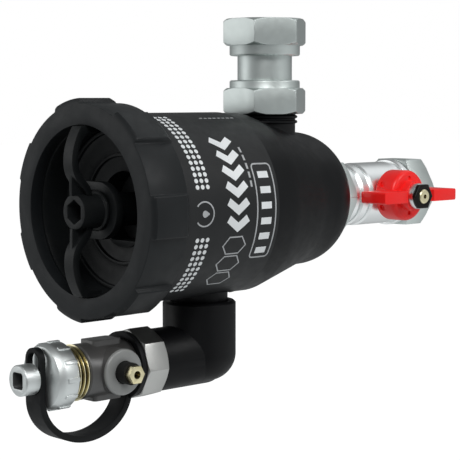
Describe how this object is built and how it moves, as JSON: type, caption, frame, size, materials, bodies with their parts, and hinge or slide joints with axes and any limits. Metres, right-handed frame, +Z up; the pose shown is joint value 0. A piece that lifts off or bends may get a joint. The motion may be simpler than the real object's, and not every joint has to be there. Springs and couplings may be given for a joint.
{
  "type": "magnetic system filter",
  "caption": "Inline magnetic heating filter with a horizontal canister, lobed lock ring, top union inlet, rear lever ball valve and a capped drain cock on an elbow.",
  "frame": {"origin": "middle of the 22 mm pipe socket at the rear of the ball valve", "axes": "+Y runs along the canister and out of the rear pipe socket, +Z is up out of the inlet nut, +X is the side of the lever"},
  "size_m": [0.0814, 0.2125, 0.1574],
  "materials": {
    "black_plastic": "satin moulded",
    "ring_plastic": "satin moulded",
    "lid_plastic": "satin moulded",
    "inner_plastic": "moulded",
    "label_film": "matt film",
    "nickel_plate": "satin nickel plate",
    "chrome_plate": "bright chrome plate",
    "red_plastic": "gloss moulded",
    "brass": "turned",
    "cock_plastic": "satin moulded",
    "strap_rubber": "soft matt",
    "seal_rubber": "matt",
    "zinc_steel": "zinc plated",
    "black_steel": "black oxide",
    "magnet_plate": "nickel-plated magnet",
    "seat_ptfe": "waxy white"
  },
  "bodies": {
    "canister": {"canister": "black_plastic", "label_wrap": "label_film", "outlet_tube": "inner_plastic", "swirl_guide": "inner_plastic", "drain_o_ring": "seal_rubber", "inlet_lower_washer": "seal_rubber", "inlet_tailpiece": "nickel_plate", "inlet_snap_ring": "zinc_steel", "inlet_upper_washer": "seal_rubber", "outlet_washer": "seal_rubber", "valve_body": "chrome_plate", "valve_end": "chrome_plate", "ball_seats": "seat_ptfe", "gland_nut": "brass", "olive": "brass"},
    "lid": {"lid": "lid_plastic", "hub_clip": "lid_plastic", "lid_seal": "seal_rubber", "magnet_sleeve": "inner_plastic", "magnets": "magnet_plate", "pole_discs": "zinc_steel", "magnet_rod": "zinc_steel"},
    "lock_ring": {"lock_ring": "ring_plastic"},
    "inlet_lower_nut": {"inlet_lower_nut": "nickel_plate"},
    "inlet_upper_nut": {"inlet_upper_nut": "nickel_plate"},
    "outlet_union_nut": {"outlet_union_nut": "nickel_plate"},
    "compression_nut": {"compression_nut": "nickel_plate"},
    "valve_lever": {"valve_handle": "red_plastic", "valve_spindle": "brass", "valve_ball": "chrome_plate", "handle_washer": "zinc_steel", "handle_nut": "black_steel"},
    "drain_elbow": {"drain_elbow": "ring_plastic", "elbow_snap_ring": "zinc_steel", "drain_washer": "seal_rubber", "cock_body": "cock_plastic", "cock_cover": "cock_plastic", "cock_gland": "seal_rubber", "hose_spout": "brass", "cap_washer": "seal_rubber", "cap_strap": "strap_rubber"},
    "drain_nut": {"drain_nut": "nickel_plate"},
    "cock_plug": {"cock_plug": "brass"},
    "drain_cap": {"drain_cap": "nickel_plate"}
  },
  "joints": [
    {"name": "lid_lift_out", "type": "slide", "parent": "canister", "child": "lid", "axis": [0, -1, 0], "range_m": [0, 0.065]},
    {"name": "lock_ring_screw", "type": "hinge", "parent": "lid", "child": "lock_ring", "pos_m": [0, -0.162, 0], "axis": [0, -1, 0], "range_deg": [0, 450]},
    {"name": "inlet_lower_nut_spin", "type": "hinge", "parent": "canister", "child": "inlet_lower_nut", "pos_m": [0, -0.081, 0.04], "axis": [0, 0, 1], "continuous": true},
    {"name": "inlet_upper_nut_spin", "type": "hinge", "parent": "canister", "child": "inlet_upper_nut", "pos_m": [0, -0.081, 0.067], "axis": [0, 0, 1], "continuous": true},
    {"name": "outlet_union_nut_spin", "type": "hinge", "parent": "canister", "child": "outlet_union_nut", "pos_m": [0, -0.046, 0], "axis": [0, 1, 0], "continuous": true},
    {"name": "compression_nut_spin", "type": "hinge", "parent": "canister", "child": "compression_nut", "pos_m": [0, 0.003, 0], "axis": [0, 1, 0], "continuous": true},
    {"name": "valve_lever_turn", "type": "hinge", "parent": "canister", "child": "valve_lever", "pos_m": [0, -0.018, 0], "axis": [1, 0, 0], "range_deg": [0, 90]},
    {"name": "drain_elbow_swivel", "type": "hinge", "parent": "canister", "child": "drain_elbow", "pos_m": [0, -0.1168, -0.045], "axis": [0, 0, 1], "continuous": true},
    {"name": "drain_nut_spin", "type": "hinge", "parent": "drain_elbow", "child": "drain_nut", "pos_m": [0, -0.1487, -0.0588], "axis": [0, 1, 0], "continuous": true},
    {"name": "cock_plug_turn", "type": "hinge", "parent": "drain_elbow", "child": "cock_plug", "pos_m": [0, -0.165, -0.0588], "axis": [1, 0, 0], "range_deg": [0, 90]},
    {"name": "drain_cap_screw", "type": "hinge", "parent": "drain_elbow", "child": "drain_cap", "pos_m": [0, -0.1885, -0.0588], "axis": [0, -1, 0], "range_deg": [0, 990]}
  ]
}
